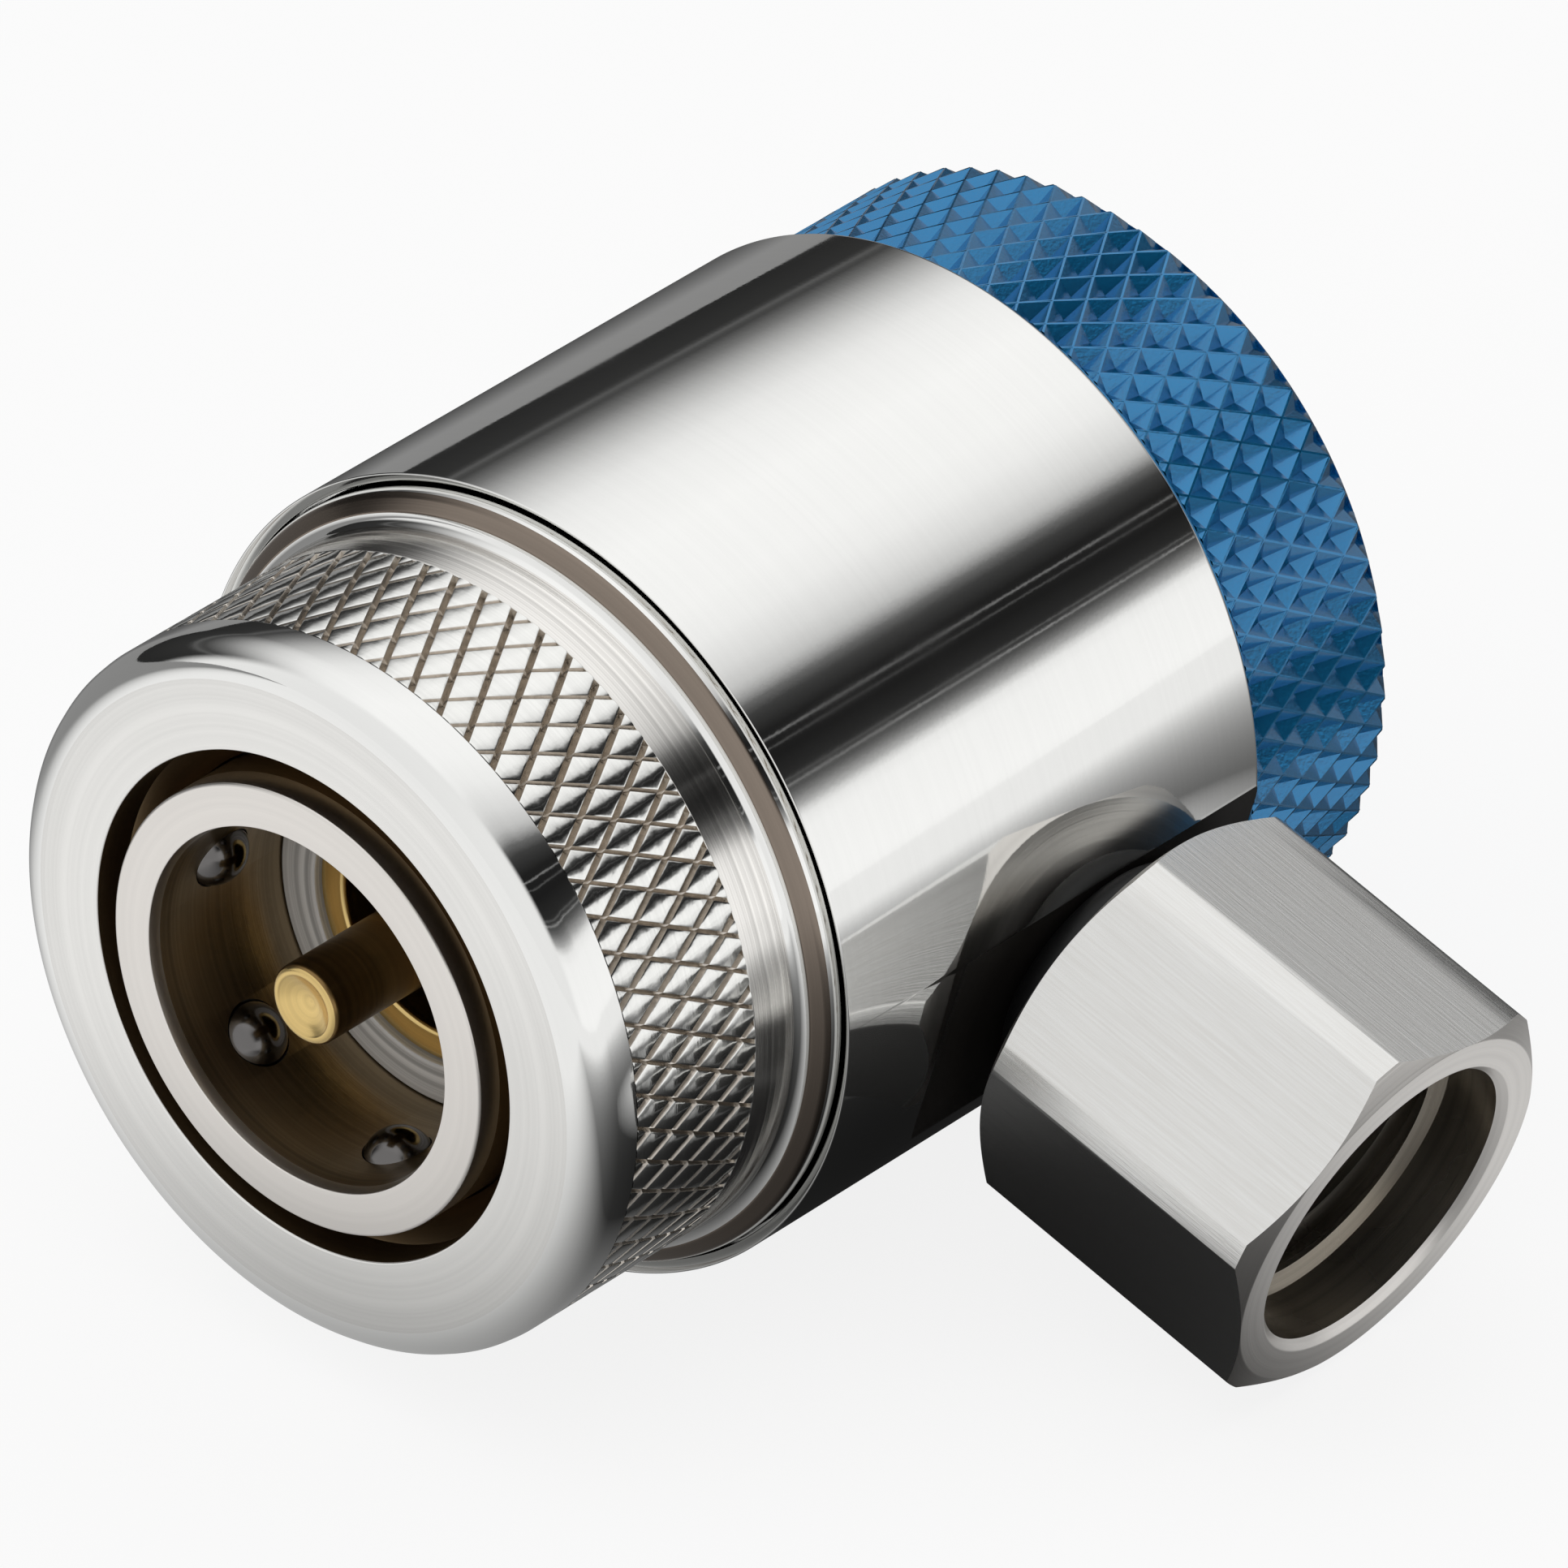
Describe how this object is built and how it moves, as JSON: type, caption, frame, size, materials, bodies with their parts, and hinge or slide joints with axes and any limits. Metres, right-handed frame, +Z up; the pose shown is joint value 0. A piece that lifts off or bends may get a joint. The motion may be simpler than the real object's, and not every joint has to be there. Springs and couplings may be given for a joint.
{
  "type": "refrigerant hose coupler",
  "caption": "Refrigerant hose quick coupler: plated barrel with a sprung ball-lock sleeve, a hexagonal threaded side port and a knurled blue hand wheel that works a valve depressor.",
  "frame": {"origin": "centre of the socket's front face, on the axis of barrel, sleeve and hand wheel", "axes": "+Y along the body axis from the socket mouth to the hand wheel, +Z up as the coupler lies on its barrel and one corner of the hexagon, +X towards the side of the hose port"},
  "size_m": [0.0432, 0.0396, 0.029],
  "materials": {
    "bright_nickel": "bright nickel plate on turned brass",
    "sleeve_nickel": "bright nickel plate, knurled",
    "satin_nickel": "satin nickel plate, bare brass in the bore",
    "fitting_nickel": "nickel plate on drawn hexagon bar",
    "ball_steel": "polished bearing steel",
    "spring_steel": "drawn spring wire",
    "washer_steel": "fine turned steel",
    "screw_steel": "zinc-plated steel",
    "yellow_brass": "turned yellow brass",
    "gland_brass": "turned brass",
    "seal_rubber": "moulded black nitrile",
    "blue_anodised": "blue anodised, diamond knurled"
  },
  "bodies": {
    "coupler_body": {"barrel": "bright_nickel", "socket_nose": "satin_nickel", "locking_balls": "ball_steel", "sleeve_stop_ring": "spring_steel", "seal_washer": "washer_steel", "port_seal": "seal_rubber", "seal_bush": "yellow_brass", "sleeve_spring": "spring_steel", "port_fitting": "fitting_nickel", "fitting_seal": "seal_rubber", "hose_gasket": "seal_rubber", "gland_nut": "gland_brass", "packing_washer": "gland_brass", "stem_seal": "seal_rubber"},
    "sleeve": {"locking_sleeve": "sleeve_nickel"},
    "depressor": {"depressor_pin": "yellow_brass"},
    "wheel": {"spindle": "gland_brass", "pin_retainer": "spring_steel", "hand_wheel": "blue_anodised", "wheel_washer": "washer_steel", "wheel_screw": "screw_steel"}
  },
  "joints": [
    {"name": "sleeve_slide", "type": "slide", "parent": "coupler_body", "child": "sleeve", "axis": [0, 1, 0], "range_m": [0, 0.0018], "stiffness_N_per_m": 4000, "springref_m": -0.002, "deforming": ["sleeve_spring"]},
    {"name": "depressor_slide", "type": "slide", "parent": "coupler_body", "child": "depressor", "axis": [0, 1, 0], "range_m": [0, 0.00381]},
    {"name": "hand_wheel_turn", "type": "hinge", "parent": "depressor", "child": "wheel", "pos_m": [0, 0.0359, 0], "axis": [0, 1, 0], "range_deg": [0, 1080]}
  ],
  "couplings": [
    {"joint": "hand_wheel_turn", "follows": "depressor_slide", "rad_per_m": 4947.4}
  ]
}
